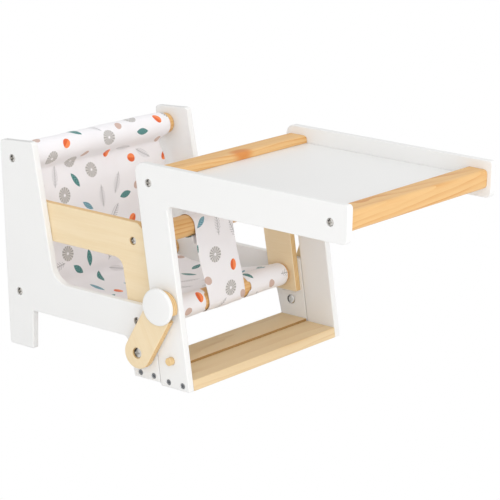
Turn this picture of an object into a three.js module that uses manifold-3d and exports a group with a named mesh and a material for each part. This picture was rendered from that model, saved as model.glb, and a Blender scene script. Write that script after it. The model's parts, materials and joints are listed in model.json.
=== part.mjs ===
// A doll's high chair that folds open into a low chair with a table in front of it.
// Two halves meet on a slanted seam: the chair half behind it, the table half in front.
// Two small hinges at the foot of the seam let the table turn over and become the base
// under the chair, and a wooden latch on each side hooks onto a peg to lock either position.
//
// Everything is drawn in the side view, in millimetres: x runs forward from the hinge line,
// y runs up from the floor, and z runs across, towards the doll's left. The last lines turn
// the model so that +Z is up and the table points towards -Y.

import * as THREE from "three";
import { mergeVertices } from "three/addons/utils/BufferGeometryUtils.js";
import Module from "manifold-3d";

const wasm = await Module();
wasm.setup();

// ---------------------------------------------------------------- driving dimensions

// Overall sizes
const overallWidth = 280; // across, over the two outer faces of the side boards
const trayReach = 243; // from the hinge line forward to the front of the tray
const trayHeight = 246.3; // top edge of the tray sides
const backHeight = 243; // top front corner of the chair's back
const backReach = 229.5; // from the hinge line back to the heels

// Stock
const boardThickness = 9; // side boards, arms and latches
const treadThickness = 12; // the two footboards
const dowelRadius = 12.5;
const deskThickness = 4;
const fitGap = 0.3; // between two pieces that touch
const boardEase = 1.2; // rounding on the edges of the lacquered boards
const plyEase = 0.6; // rounding on the edges of the plywood pieces

// Seam between the two halves
const seamSlope = 0.178; // how far the seam leans back for each millimetre up
const seamGap = 0.6;

// Hinges
const hingeAxisHeight = 1.1;
const knuckleRadius = 1.0;
const hingePinRadius = 0.5;
const hingePinFit = 0.08;
const leafThickness = 0.7;
const leafReach = 15;
const hingeLength = 36;
const hingeSpacing = 150; // between the middles of the two hinges
const frontFootLift = 2 * hingeAxisHeight + fitGap; // leaves room for the table's feet when folded

// Chair side board
const backLean = 0.0605; // how far the back leans rearward for each millimetre up
const backTopWidth = 49.5;
const backTopDrop = 3.5; // the top edge falls towards the rear
const uprightTaper = 0.218; // slant of the upright's front edge
const railTop = 86;
const railBottom = 45.8;
const uprightCornerRadius = 24;
const heelWidth = 36;
const frontFootWidth = 38;
const frontFootTaper = 0.275;
const frontFootCornerRadius = 7;

// Table side board
const legWidth = 40.5;
const traySideDepth = 42.3;
const trayRearRadius = 11;
const trayFrontTopRadius = 4.5;
const trayFrontBottomRadius = 7;
const legCornerRadius = 5.5;

// Arms
const armTop = 174.6;
const armDepth = 43.8;
const armRear = 205; // distance of the hidden rear end behind the hinge line
const armSetback = 4; // behind the seam
const armLegBottom = 47.6;
const armLegWidthAtRail = 39;
const armLegTaper = 0.2;
const armInnerRadius = 13;
const armChamfer = 10;

// Cross pieces, in the side view
const backTopDowelAt = [-225.5, 220];
const seatRearDowelAt = [-214.6, 65];
const seatFrontDowelAt = [-36, 66.3];
const safetyBarAt = [-51, 153.4];
const barDepth = 28;
const barHeight = 22;
const barRadius = 5;
const barDrop = 10; // top of the bars below the top of the tray sides
const frontBarSetback = 5.5;
const rearBarReach = 38.5; // rear face behind the hinge line
const barBoltInset = 2.5; // bolts sit towards the desk from the middle of the bar
const deskDrop = 18.5; // desk surface below the top of the tray sides
const deskGrooveDepth = 5.3;

// Latches and pegs
const latchPivotAt = [-26.7, 33.9];
const latchAngle = 61; // degrees above forward, where a latch points when it is hooked on its peg
const rightLatchTurnedBack = 12; // degrees that the right latch stands back off its peg at rest
const latchWidth = 36;
const latchReach = 66.5; // from the pivot to the middle of the latch's round end
const latchStandOff = 1; // between the side board and the latch
const knobRadius = 20.9;
const knobThickness = 4.2;
const knobRound = 2.5; // on the knob's front edge
const knobSetback = 2.2; // the knob sits this far behind the latch's middle line
const pegRadius = 4.5;
const pegProud = 6;
const pegSlack = 0.7; // round the peg in the hook slot
const lowerPegAt = [14.6, 31.5];
const pegHoleDepth = 6.5;
const pegChamfer = 0.8;
const upperPegClearance = 0.4; // between the short upper peg and the latch

// Fasteners
const boltHeadRadius = 4.3;
const boltHeadHeight = 2.0;
const boltShankRadius = 2.3;
const boltGrip = 18; // length of shank in the dowel or bar
const boltRecess = 2.4;
const pivotHeadRadius = 6.0;
const sleeveRadius = 3.6;
const sleeveHeadRadius = 5.5;
const sleeveHeadHeight = 1.4;
const screwHeadRadius = 3.2;
const screwShankRadius = 1.6;
const screwGrip = 16;
const screwRecess = 0.8;
const armScrewBite = 6.5; // hole in the chair side behind the arm's rear screw
const holeSlack = 0.4; // radial, round bolts, screws and sleeves
const treadScrewSetback = 9.8; // outer footboard screws from the edge of the foot
const treadScrewInset = 10.8; // inner footboard screws from the hinge line
const armScrewAt = [-193, 152.5];

// Fabric: plain solids that hold the place of the sewn seat
const clothThickness = 1.4;
const topRollThickness = 2.4;
const slingTopWidth = 252;
const slingSeatWidth = 236;
const seatSag = 10;
const strapWidth = 70;
const strapSideGap = 13; // bare dowel between the strap and each sleeve

// ---------------------------------------------------------------- derived places

const halfWidth = overallWidth / 2;
const innerHalf = halfWidth - boardThickness;
const armInnerHalf = innerHalf - boardThickness - fitGap;
const deskTop = trayHeight - deskDrop;
const barTop = trayHeight - barDrop;
const barMiddle = barTop - barHeight / 2;
const seamAt = (height) => -seamSlope * height;
const latchDirection = new THREE.Vector2(1, 0).rotateAround(
  new THREE.Vector2(),
  THREE.MathUtils.degToRad(latchAngle),
);

// The folded table carries the lower peg to here, and the hook slot is as far from the pivot.
const foldedPegAt = [-lowerPegAt[0], 2 * hingeAxisHeight - lowerPegAt[1]];
const hookReach = Math.hypot(foldedPegAt[0] - latchPivotAt[0], foldedPegAt[1] - latchPivotAt[1]);
const upperPegAt = [
  latchPivotAt[0] + hookReach * latchDirection.x,
  latchPivotAt[1] + hookReach * latchDirection.y,
];

// ---------------------------------------------------------------- materials

function finish(color, roughness, metalness = 0) {
  return new THREE.MeshStandardMaterial({ color, roughness, metalness });
}

const whiteLacquer = finish("#f0f0ee", 0.35);
const birchPly = finish("#f2dfbb", 0.6);
const pine = finish("#f5c789", 0.55);
const tread = finish("#ddbb90", 0.6);
const printedCotton = finish("#ece5e4", 0.95);
const nickel = finish("#c9c9c8", 0.3, 1);
const steel = finish("#b5b7ba", 0.35, 1);

// ---------------------------------------------------------------- geometry helpers

// A closed outline from corners given as [x, y, radius], in order anticlockwise. Each corner is
// rounded by an arc of its radius, with more steps on a larger arc.
function roundedOutline(corners) {
  const points = corners.flatMap(([x, y, radius], index) => {
    const corner = new THREE.Vector2(x, y);
    if (!radius) return [corner];
    const next = corners[(index + 1) % corners.length];
    const before = new THREE.Vector2(...corners.at(index - 1)).sub(corner).normalize();
    const after = new THREE.Vector2(...next).sub(corner).normalize();
    const halfAngle = Math.acos(before.dot(after)) / 2;
    const bisector = before.clone().add(after).normalize();
    const centre = corner.clone().addScaledVector(bisector, radius / Math.sin(halfAngle));
    const start = corner.clone().addScaledVector(before, radius / Math.tan(halfAngle)).sub(centre);
    const turn = (Math.PI - 2 * halfAngle) * Math.sign(after.cross(before));
    const steps = Math.ceil(Math.abs(turn) * (0.8 + Math.sqrt(radius)));
    return Array.from({ length: steps + 1 }, (_, step) =>
      start.clone().rotateAround(new THREE.Vector2(), (turn * step) / steps).add(centre),
    );
  });
  return new THREE.Shape(points);
}

// A board cut to the outline, from z = 0 to z = thickness, with its edges eased.
function board(outline, thickness, ease, easeSteps = 1, curveSegments = 12) {
  const geometry = new THREE.ExtrudeGeometry(outline, {
    depth: thickness - 2 * ease,
    bevelEnabled: ease > 0,
    bevelThickness: ease,
    bevelSize: ease,
    bevelOffset: -ease,
    bevelSegments: easeSteps,
    curveSegments,
  });
  return geometry.translate(0, 0, ease);
}

function box(x0, x1, y0, y1, z0, z1) {
  const geometry = new THREE.BoxGeometry(x1 - x0, y1 - y0, z1 - z0);
  return geometry.translate((x0 + x1) / 2, (y0 + y1) / 2, (z0 + z1) / 2);
}

// A round bar or cutter along z.
function rod([x, y], radius, z0, z1, segments = 16) {
  const geometry = new THREE.CylinderGeometry(radius, radius, z1 - z0, segments);
  return geometry.rotateX(Math.PI / 2).translate(x, y, (z0 + z1) / 2);
}

// A turned piece about z, from its profile as [radius, z].
function turned(profile, segments = 16) {
  const points = profile.map(([radius, z]) => new THREE.Vector2(radius, z));
  return new THREE.LatheGeometry(points, segments).rotateX(Math.PI / 2);
}

function solidOf(geometry) {
  const bare = geometry.index ? geometry.toNonIndexed() : geometry.clone();
  bare.deleteAttribute("normal");
  bare.deleteAttribute("uv");
  const merged = mergeVertices(bare, 1e-4);
  const made = new wasm.Manifold(
    new wasm.Mesh({
      numProp: 3,
      vertProperties: merged.getAttribute("position").array,
      triVerts: new Uint32Array(merged.index.array),
    }),
  );
  return made;
}

function geometryOf(solid) {
  const mesh = solid.getMesh();
  const geometry = new THREE.BufferGeometry();
  geometry.setAttribute("position", new THREE.BufferAttribute(mesh.vertProperties, 3));
  geometry.setIndex(new THREE.BufferAttribute(mesh.triVerts, 1));
  const flat = geometry.toNonIndexed();
  flat.computeVertexNormals();
  return flat;
}

function cut(geometry, cutters) {
  let solid = solidOf(geometry);
  for (const cutter of cutters) solid = solid.subtract(solidOf(cutter));
  return geometryOf(solid);
}

function join(geometries) {
  let solid = solidOf(geometries[0]);
  for (const geometry of geometries.slice(1)) solid = solid.add(solidOf(geometry));
  return geometryOf(solid);
}

// ---------------------------------------------------------------- scene helpers

const model = new THREE.Group();

function place(name, geometry, material, z = 0, side = 1) {
  const mesh = new THREE.Mesh(geometry, material);
  mesh.name = name;
  mesh.position.z = side * z;
  mesh.scale.z = side;
  model.add(mesh);
  return mesh;
}

// One piece for each side of the chair. Its geometry is drawn for the left side, where z grows
// outward from the given distance, and the right one is its mirror image.
function placeBothSides(name, geometry, material, z) {
  place(`${name}_left`, geometry, material, z, 1);
  place(`${name}_right`, geometry, material, z, -1);
}

// ---------------------------------------------------------------- fasteners

// The cross-shaped recess of a screwdriver slot, cut into a head that ends at z = top.
function crossSlot(top, size, depth) {
  const half = size / 2;
  const blade = size / 7;
  return [
    box(-half, half, -blade, blade, top - depth, top + 1),
    box(-blade, blade, -half, half, top - depth, top + 1),
  ];
}

// A connector bolt with a domed head. Its head sits under z = 0 and its shank runs inward.
function connectorBolt(headRadius, shankLength) {
  const under = -boltHeadHeight;
  const body = turned([
    [0, under - shankLength],
    [boltShankRadius, under - shankLength],
    [boltShankRadius, under],
    [headRadius, under],
    [headRadius, under * 0.45],
    [headRadius * 0.8, under * 0.12],
    [headRadius * 0.45, 0],
    [0, 0],
  ]);
  return cut(body, crossSlot(0, headRadius * 1.1, boltHeadHeight * 0.6));
}

function countersunkScrew(length) {
  const taper = screwHeadRadius - screwShankRadius;
  const body = turned(
    [
      [0, -length],
      [screwShankRadius * 0.5, -length + 2],
      [screwShankRadius, -length + 5],
      [screwShankRadius, -taper],
      [screwHeadRadius, 0],
      [0, 0],
    ],
    16,
  );
  return cut(body, crossSlot(0, screwHeadRadius, taper * 0.6));
}

// Cutters for the hole and the recess of a bolt through a board whose outer face is at z = face.
function boltHole(at, face, through) {
  return [
    rod(at, boltHeadRadius + holeSlack, face - boltRecess, face + 1),
    rod(at, boltShankRadius + holeSlack, face - through - 1, face, 12),
  ];
}

function screwHole(at, face, through) {
  const recess = screwRecess;
  const taper = screwHeadRadius - screwShankRadius;
  const funnel = turned(
    [
      [0, -taper - recess - 1],
      [screwShankRadius + holeSlack, -taper - recess],
      [screwHeadRadius + holeSlack, -recess],
      [screwHeadRadius + holeSlack, 1],
      [0, 1],
    ],
    16,
  );
  return [
    funnel.translate(at[0], at[1], face),
    rod(at, screwShankRadius + holeSlack, face - through - 1, face - 1, 12),
  ];
}

function placeBolts(name, at, face, boards, headRadius = boltHeadRadius) {
  const sunk = boltRecess - boltHeadHeight;
  const shank = boards - boltRecess + boltGrip;
  const geometry = connectorBolt(headRadius, shank).translate(at[0], at[1], -sunk);
  placeBothSides(name, geometry, nickel, face);
}

function placeScrews(name, at, face) {
  const geometry = countersunkScrew(boardThickness - screwRecess + screwGrip);
  placeBothSides(name, geometry.translate(at[0], at[1], -screwRecess), steel, face);
}

// ---------------------------------------------------------------- chair half

const heelRear = -backReach;
const frontFootRear = -frontFootWidth;
const rearEdgeAt = (height) => heelRear - backLean * height;
const frontFootRearAt = (height) => frontFootRear - frontFootTaper * (height - frontFootLift);
const chairSeamAt = (height) => seamAt(height) - seamGap / 2;
const tableSeamAt = (height) => seamAt(height) + seamGap / 2;

// Screws through each side board into the ends of the footboards.
const chairTreadMiddle = frontFootLift + treadThickness / 2;
const tableTreadMiddle = treadThickness / 2;
const chairScrewsAt = [
  [frontFootRearAt(chairTreadMiddle) + treadScrewSetback, chairTreadMiddle],
  [-treadScrewInset, chairTreadMiddle],
];
const tableScrewsAt = [
  [treadScrewInset, tableTreadMiddle],
  [legWidth - treadScrewSetback, tableTreadMiddle],
];

function chairSideOutline() {
  const backTopFront = rearEdgeAt(backHeight) + backTopWidth;
  const railCorner = backTopFront + uprightTaper * (backHeight - railTop);
  return roundedOutline([
    [heelRear, 0, 4],
    [heelRear + heelWidth, 0, 1.5],
    [heelRear + heelWidth, railBottom, 1.5],
    [frontFootRearAt(railBottom), railBottom, frontFootCornerRadius],
    [frontFootRear, frontFootLift, 1.5],
    [chairSeamAt(frontFootLift), frontFootLift, 0],
    [chairSeamAt(railTop), railTop, 1.5],
    [railCorner, railTop, uprightCornerRadius],
    [backTopFront, backHeight, 5],
    [rearEdgeAt(backHeight), backHeight - backTopDrop, 4],
  ]);
}

function buildChairSides() {
  const plain = board(chairSideOutline(), boardThickness, boardEase, 2);
  const face = boardThickness;
  const cutters = [
    ...boltHole(backTopDowelAt, face, boardThickness),
    ...boltHole(seatRearDowelAt, face, boardThickness),
    ...boltHole(seatFrontDowelAt, face, boardThickness),
    ...chairScrewsAt.flatMap((at) => screwHole(at, face, boardThickness)),
    rod(latchPivotAt, sleeveRadius + holeSlack, -1, boardThickness + 1),
    rod(latchPivotAt, sleeveHeadRadius + holeSlack, -1, sleeveHeadHeight / 2 + fitGap),
    rod(armScrewAt, screwShankRadius + holeSlack, -1, armScrewBite, 12),
  ];
  placeBothSides("chair_side", cut(plain, cutters), whiteLacquer, innerHalf);
}

function armOutline() {
  const bottom = armTop - armDepth;
  const frontAt = (height) => seamAt(height) - armSetback;
  const legRearAt = (height) => frontAt(railTop) - armLegWidthAtRail - armLegTaper * (height - railTop);
  return roundedOutline([
    [-armRear, bottom, 2],
    [legRearAt(bottom), bottom, armInnerRadius],
    [legRearAt(armLegBottom), armLegBottom, 1.5],
    [frontAt(armLegBottom), armLegBottom, 1.5],
    [frontAt(armTop - armChamfer), armTop - armChamfer, 4],
    [frontAt(armTop) - armChamfer, armTop, 4],
    [-armRear, armTop, 2],
  ]);
}

function buildArms() {
  const plain = board(armOutline(), boardThickness, plyEase);
  const face = boardThickness;
  const innerScrew = screwHole(armScrewAt, 0, boardThickness).map((cutter) =>
    cutter.rotateY(Math.PI).translate(2 * armScrewAt[0], 0, 0),
  );
  const cutters = [
    ...boltHole(safetyBarAt, face, boardThickness),
    rod(seatFrontDowelAt, boltShankRadius + holeSlack, -1, boardThickness + 1, 16),
    ...innerScrew,
  ];
  placeBothSides("arm", cut(plain, cutters), birchPly, armInnerHalf);
  const screw = countersunkScrew(boardThickness + fitGap + armScrewBite - 1 - screwRecess);
  screw.rotateY(Math.PI).translate(armScrewAt[0], armScrewAt[1], screwRecess);
  placeBothSides("arm_screw", screw, steel, armInnerHalf);
}

// A dowel between two boards, with a pilot bore for a bolt in each end.
function dowel([x, y], half) {
  const bore = boltShankRadius + holeSlack;
  const depth = boltGrip + 2;
  const chamfer = 1;
  const profile = [
    [0, -half + depth],
    [bore, -half + depth],
    [bore, -half],
    [dowelRadius - chamfer, -half],
    [dowelRadius, -half + chamfer],
    [dowelRadius, half - chamfer],
    [dowelRadius - chamfer, half],
    [bore, half],
    [bore, half - depth],
    [0, half - depth],
  ];
  return turned(profile, 28).translate(x, y, 0);
}

function buildDowels() {
  place("back_top_dowel", dowel(backTopDowelAt, innerHalf - fitGap), pine);
  place("seat_rear_dowel", dowel(seatRearDowelAt, innerHalf - fitGap), pine);
  place("seat_front_dowel", dowel(seatFrontDowelAt, armInnerHalf - fitGap), pine);
  place("safety_bar", dowel(safetyBarAt, armInnerHalf - fitGap), pine);
}

function buildChairBolts() {
  placeBolts("back_bolt", backTopDowelAt, halfWidth, boardThickness);
  placeBolts("seat_rear_bolt", seatRearDowelAt, halfWidth, boardThickness);
  placeBolts("seat_front_bolt", seatFrontDowelAt, halfWidth, 2 * boardThickness + fitGap);
  placeBolts("arm_bolt", safetyBarAt, armInnerHalf + boardThickness, boardThickness);
}

// A footboard with bores for two screws in each end, and hinge recesses from below.
function footboard(outline, screwsAt, hingeCutters) {
  const half = innerHalf - fitGap;
  const plain = board(outline, 2 * half, plyEase).translate(0, 0, -half);
  const bore = screwShankRadius + holeSlack;
  const bores = screwsAt.flatMap((at) => [
    rod(at, bore, half - screwGrip - 1, half + 1, 12),
    rod(at, bore, -half - 1, -half + screwGrip + 1, 12),
  ]);
  return cut(plain, [...bores, ...hingeCutters]);
}

const hingeMiddles = [
  ["left", hingeSpacing / 2],
  ["right", -hingeSpacing / 2],
];

function buildChairFootboard() {
  const top = frontFootLift + treadThickness;
  const outline = roundedOutline([
    [frontFootRearAt(frontFootLift), frontFootLift, 1],
    [chairSeamAt(frontFootLift), frontFootLift, 0],
    [chairSeamAt(top), top, 0],
    [frontFootRearAt(top), top, 1],
  ]);
  const depth = leafThickness + fitGap;
  const recesses = hingeMiddles.map(([, middle]) => {
    const half = hingeLength / 2 + fitGap;
    return box(-leafReach - fitGap, 5, -5, frontFootLift + depth, middle - half, middle + half);
  });
  place("chair_footboard", footboard(outline, chairScrewsAt, recesses), tread);
  chairScrewsAt.forEach((at, index) => {
    placeScrews(`chair_footboard_screw_${index + 1}`, at, halfWidth);
  });
}

// ---------------------------------------------------------------- hinges

const knuckleWebWidth = 0.85;
const knuckleWebReach = 1.5;
const leafNotch = 1.9; // the table leaf starts this far out beside the chair leaf's knuckles

function buildHinges() {
  const axis = [0, hingeAxisHeight];
  const third = hingeLength / 3;
  const half = hingeLength / 2;
  const knuckleGap = 0.15;
  const bore = rod(axis, hingePinRadius + hingePinFit, -half - 1, half + 1, 12);
  const chairPlateTop = frontFootLift + leafThickness;

  const chairKnuckles = [-1, 1].flatMap((end) => {
    const [from, to] = end < 0 ? [-half, -half + third] : [half - third, half];
    const [low, high] = [from + (end > 0 ? knuckleGap : 0), to - (end < 0 ? knuckleGap : 0)];
    return [
      rod(axis, knuckleRadius, low, high, 16),
      box(-knuckleWebReach, knuckleWebWidth - knuckleWebReach, hingeAxisHeight, chairPlateTop, low, high),
    ];
  });
  const chairPlate = box(-leafReach, -knuckleWebReach + 0.1, frontFootLift, chairPlateTop, -half, half);
  const chairLeaf = cut(join([chairPlate, ...chairKnuckles]), [bore]);

  const middle = half - third - knuckleGap;
  const tableLeaf = cut(
    join([
      box(leafNotch, leafReach, 0, leafThickness, -half, half),
      box(knuckleRadius / 2, leafNotch + 0.1, 0, leafThickness, -middle, middle),
      rod(axis, knuckleRadius, -middle, middle, 16),
    ]),
    [bore],
  );

  const pin = rod(axis, hingePinRadius, -half, half, 12);
  for (const [name, z] of hingeMiddles) {
    place(`hinge_chair_leaf_${name}`, chairLeaf, steel).position.z = z;
    place(`hinge_table_leaf_${name}`, tableLeaf, steel).position.z = z;
    place(`hinge_pin_${name}`, pin, steel).position.z = z;
  }
}

// ---------------------------------------------------------------- table half

function tableSideOutline() {
  const trayBottom = trayHeight - traySideDepth;
  const legFrontAt = (height) => legWidth + seamAt(height);
  return roundedOutline([
    [tableSeamAt(0), 0, 0],
    [legFrontAt(0), 0, 1.5],
    [legFrontAt(trayBottom), trayBottom, legCornerRadius],
    [trayReach, trayBottom, trayFrontBottomRadius],
    [trayReach, trayHeight, trayFrontTopRadius],
    [tableSeamAt(trayHeight), trayHeight, trayRearRadius],
  ]);
}

const rearBarMiddle = -rearBarReach + barDepth / 2;
const frontBarMiddle = trayReach - frontBarSetback - barDepth / 2;
const rearBarBoltAt = [rearBarMiddle + barBoltInset, barMiddle];
const frontBarBoltAt = [frontBarMiddle - barBoltInset, barMiddle];

function buildTableSides() {
  const face = boardThickness;
  const cutters = [
    ...boltHole(rearBarBoltAt, face, boardThickness),
    ...boltHole(frontBarBoltAt, face, boardThickness),
    ...tableScrewsAt.flatMap((at) => screwHole(at, face, boardThickness)),
    rod(lowerPegAt, pegRadius + fitGap, face - pegHoleDepth, face + 1),
    rod(upperPegAt, pegRadius + fitGap, face - pegHoleDepth, face + 1),
  ];
  const plain = board(tableSideOutline(), boardThickness, boardEase, 2);
  placeBothSides("table_side", cut(plain, cutters), whiteLacquer, innerHalf);
}

// A rounded bar across the tray, grooved on its inner face for the desk panel.
function trayBar(middle, boltAt, towardsDesk) {
  const half = innerHalf - fitGap;
  const rear = middle - barDepth / 2;
  const front = middle + barDepth / 2;
  const outline = roundedOutline([
    [rear, barTop - barHeight, barRadius],
    [front, barTop - barHeight, barRadius],
    [front, barTop, barRadius],
    [rear, barTop, barRadius],
  ]);
  const plain = board(outline, 2 * half, 0).translate(0, 0, -half);
  const face = towardsDesk > 0 ? front : rear;
  const [from, to] = [face - towardsDesk * deskGrooveDepth, face + towardsDesk].sort((a, b) => a - b);
  const bore = boltShankRadius + holeSlack;
  return cut(plain, [
    box(from, to, deskTop - deskThickness - fitGap, deskTop + fitGap, -half - 1, half + 1),
    rod(boltAt, bore, half - boltGrip - 2, half + 1, 16),
    rod(boltAt, bore, -half - 1, -half + boltGrip + 2, 16),
  ]);
}

function buildTray() {
  place("tray_rear_bar", trayBar(rearBarMiddle, rearBarBoltAt, 1), pine);
  place("tray_front_bar", trayBar(frontBarMiddle, frontBarBoltAt, -1), pine);
  placeBolts("tray_rear_bolt", rearBarBoltAt, halfWidth, boardThickness);
  placeBolts("tray_front_bolt", frontBarBoltAt, halfWidth, boardThickness);
  const inGroove = deskGrooveDepth - fitGap;
  const half = innerHalf - fitGap;
  const desk = box(
    rearBarMiddle + barDepth / 2 - inGroove,
    frontBarMiddle - barDepth / 2 + inGroove,
    deskTop - deskThickness,
    deskTop,
    -half,
    half,
  );
  place("desk_panel", desk, whiteLacquer);
}

function buildTableFootboard() {
  const outline = roundedOutline([
    [tableSeamAt(0), 0, 0],
    [legWidth, 0, 1],
    [legWidth + seamAt(treadThickness), treadThickness, 1],
    [tableSeamAt(treadThickness), treadThickness, 0],
  ]);
  const recesses = hingeMiddles.flatMap(([, middle]) => {
    const half = hingeLength / 2 + fitGap;
    return [
      box(-5, leafReach + fitGap, -5, leafThickness + fitGap, middle - half, middle + half),
      box(-5, leafNotch, -5, frontFootLift, middle - half, middle + half),
    ];
  });
  place("table_footboard", footboard(outline, tableScrewsAt, recesses), tread);
  tableScrewsAt.forEach((at, index) => {
    placeScrews(`table_footboard_screw_${index + 1}`, at, halfWidth);
  });
}

// The pegs that the latches hook onto. The lower one carries the load when the chair is high.
// The upper one is cut short of the latch, which leaves the table free to fold past it.
function buildPegs() {
  const peg = ([x, y], proud) => {
    const edge = Math.min(pegChamfer, proud);
    return turned([
      [0, -pegHoleDepth + fitGap],
      [pegRadius, -pegHoleDepth + fitGap],
      [pegRadius, proud - edge],
      [pegRadius - edge, proud],
      [0, proud],
    ]).translate(x, y, 0);
  };
  placeBothSides("lower_peg", peg(lowerPegAt, pegProud), birchPly, halfWidth);
  placeBothSides("upper_peg", peg(upperPegAt, latchStandOff - upperPegClearance), birchPly, halfWidth);
}

// ---------------------------------------------------------------- latches

// Drawn pointing up from the pivot at the origin, hook slot towards the front.
function latchGeometry() {
  const radius = latchWidth / 2;
  const outline = new THREE.Shape();
  outline.absarc(0, latchReach, radius, 0, Math.PI, false);
  outline.absarc(0, 0, radius, Math.PI, 2 * Math.PI, false);
  outline.closePath();
  const slot = pegRadius + pegSlack;
  return cut(board(outline, boardThickness, boardEase, 2, 12), [
    rod([0, hookReach], slot, -1, boardThickness + 1),
    box(0, radius + 1, hookReach - slot, hookReach + slot, -1, boardThickness + 1),
    rod([0, 0], boltShankRadius + holeSlack, -1, boardThickness + 1, 16),
    rod([0, 0], pivotHeadRadius + holeSlack, boardThickness - boltRecess, boardThickness + 1),
  ]);
}

// The knob sits over the latch's round end.
function knobGeometry() {
  const rimSteps = 3;
  const rim = Array.from({ length: rimSteps + 1 }, (_, step) => {
    const angle = ((Math.PI / 2) * step) / rimSteps;
    const inset = knobRound * (1 - Math.cos(angle));
    return [knobRadius - inset, knobThickness - knobRound * (1 - Math.sin(angle))];
  });
  const profile = [[0, fitGap], [knobRadius, fitGap], ...rim, [0, knobThickness]];
  return turned(profile, 48).translate(-knobSetback, latchReach, 0);
}

function buildLatches() {
  const inner = halfWidth + latchStandOff;
  const outer = inner + boardThickness;
  for (const [side, facing, turnedBack] of [
    ["left", 1, 0],
    ["right", -1, rightLatchTurnedBack],
  ]) {
    const turn = THREE.MathUtils.degToRad(latchAngle + turnedBack - 90);
    const pose = (geometry) => geometry.rotateZ(turn).translate(latchPivotAt[0], latchPivotAt[1], 0);
    place(`latch_${side}`, pose(latchGeometry()), birchPly, inner, facing);
    place(`latch_knob_${side}`, pose(knobGeometry()), whiteLacquer, outer, facing);
  }

  // The pivot bolt passes through the latch and into a sleeve nut set in the chair side.
  const sunk = boltRecess - boltHeadHeight;
  const sleeveEnd = boardThickness - 1;
  const reach = boardThickness - boltRecess + latchStandOff + sleeveEnd - 1;
  const pivot = connectorBolt(pivotHeadRadius, reach).translate(latchPivotAt[0], latchPivotAt[1], -sunk);
  placeBothSides("latch_pivot_bolt", pivot, nickel, outer);

  const floor = sleeveHeadHeight * 0.4;
  const bore = boltShankRadius + holeSlack;
  const sleeve = turned([
    [0, -sleeveHeadHeight / 2],
    [sleeveHeadRadius * 0.6, -sleeveHeadHeight / 2],
    [sleeveHeadRadius, -sleeveHeadHeight / 5],
    [sleeveHeadRadius, sleeveHeadHeight / 2],
    [sleeveRadius, sleeveHeadHeight / 2],
    [sleeveRadius, sleeveEnd],
    [bore, sleeveEnd],
    [bore, floor],
    [0, floor],
  ]);
  const slot = crossSlot(0, sleeveHeadRadius * 1.1, 0).map((blade) =>
    blade.translate(0, 0, -1 - sleeveHeadHeight / 5),
  );
  const nut = cut(sleeve, slot).translate(latchPivotAt[0], latchPivotAt[1], 0);
  placeBothSides("latch_sleeve_nut", nut, nickel, innerHalf);
}

// ---------------------------------------------------------------- fabric

// A band of cloth along a path in the side view, as wide as given across the chair.
function band(points, thickness, width) {
  const offset = (side) =>
    points.map((point, index) => {
      const before = points[Math.max(index - 1, 0)];
      const after = points[Math.min(index + 1, points.length - 1)];
      const along = after.clone().sub(before).normalize();
      return new THREE.Vector2(-along.y, along.x).multiplyScalar((side * thickness) / 2).add(point);
    });
  const shape = new THREE.Shape([...offset(-1), ...offset(1).reverse()]);
  const geometry = new THREE.ExtrudeGeometry(shape, { depth: width, bevelEnabled: false });
  return geometry.translate(0, 0, -width / 2);
}

// A tube of cloth round a dowel, between two places across the chair.
function sleeve([x, y], thickness, z0, z1) {
  const inner = dowelRadius + fitGap;
  const tube = turned(
    [
      [inner, z0],
      [inner + thickness, z0],
      [inner + thickness, z1],
      [inner, z1],
      [inner, z0],
    ],
    16,
  );
  return tube.translate(x, y, 0);
}

function arcPoints([x, y], radius, fromDegrees, toDegrees, count) {
  return Array.from({ length: count + 1 }, (_, step) => {
    const angle = THREE.MathUtils.degToRad(fromDegrees + ((toDegrees - fromDegrees) * step) / count);
    return new THREE.Vector2(x + radius * Math.cos(angle), y + radius * Math.sin(angle));
  });
}

const wrapRadius = dowelRadius + fitGap + clothThickness / 2; // middle of the cloth round a dowel
const seatFrontEnd = seatFrontDowelAt[0] - wrapRadius;

// Points along the sagging seat, from the rear dowel to the given place in front.
function seatPoints(to) {
  const from = seatRearDowelAt[0] + wrapRadius;
  const steps = 6;
  return Array.from({ length: steps + 1 }, (_, step) => {
    const share = step / steps;
    const sag = 4 * seatSag * share * (1 - share);
    return new THREE.Vector2(from + (to - from) * share, seatRearDowelAt[1] - sag);
  });
}

function buildSling() {
  const halfTop = slingTopWidth / 2;
  const halfSeat = slingSeatWidth / 2;
  const sleeveInner = strapWidth / 2 + strapSideGap;
  const topCentre = new THREE.Vector2(...backTopDowelAt);
  const rearCentre = new THREE.Vector2(...seatRearDowelAt);
  const backLine = [
    topCentre.clone().add(new THREE.Vector2(0, -wrapRadius)),
    rearCentre.clone().add(new THREE.Vector2(0, wrapRadius)),
  ];
  const sleeveWidth = halfSeat - sleeveInner;
  const seatTabs = [-1, 1].map((side) =>
    band(seatPoints(seatFrontEnd), clothThickness, sleeveWidth).translate(
      0,
      0,
      side * (sleeveInner + sleeveWidth / 2),
    ),
  );
  const seatMiddle = seatPoints(seatFrontEnd).slice(0, -1);
  place(
    "seat_sling",
    join([
      sleeve(backTopDowelAt, topRollThickness, -halfTop, halfTop),
      sleeve(seatRearDowelAt, clothThickness, -halfSeat, halfSeat),
      sleeve(seatFrontDowelAt, clothThickness, sleeveInner, halfSeat),
      sleeve(seatFrontDowelAt, clothThickness, -halfSeat, -sleeveInner),
      band(backLine, clothThickness, slingSeatWidth),
      band(seatMiddle, clothThickness, 2 * sleeveInner + 1),
      ...seatTabs,
    ]),
    printedCotton,
  );
}

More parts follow.
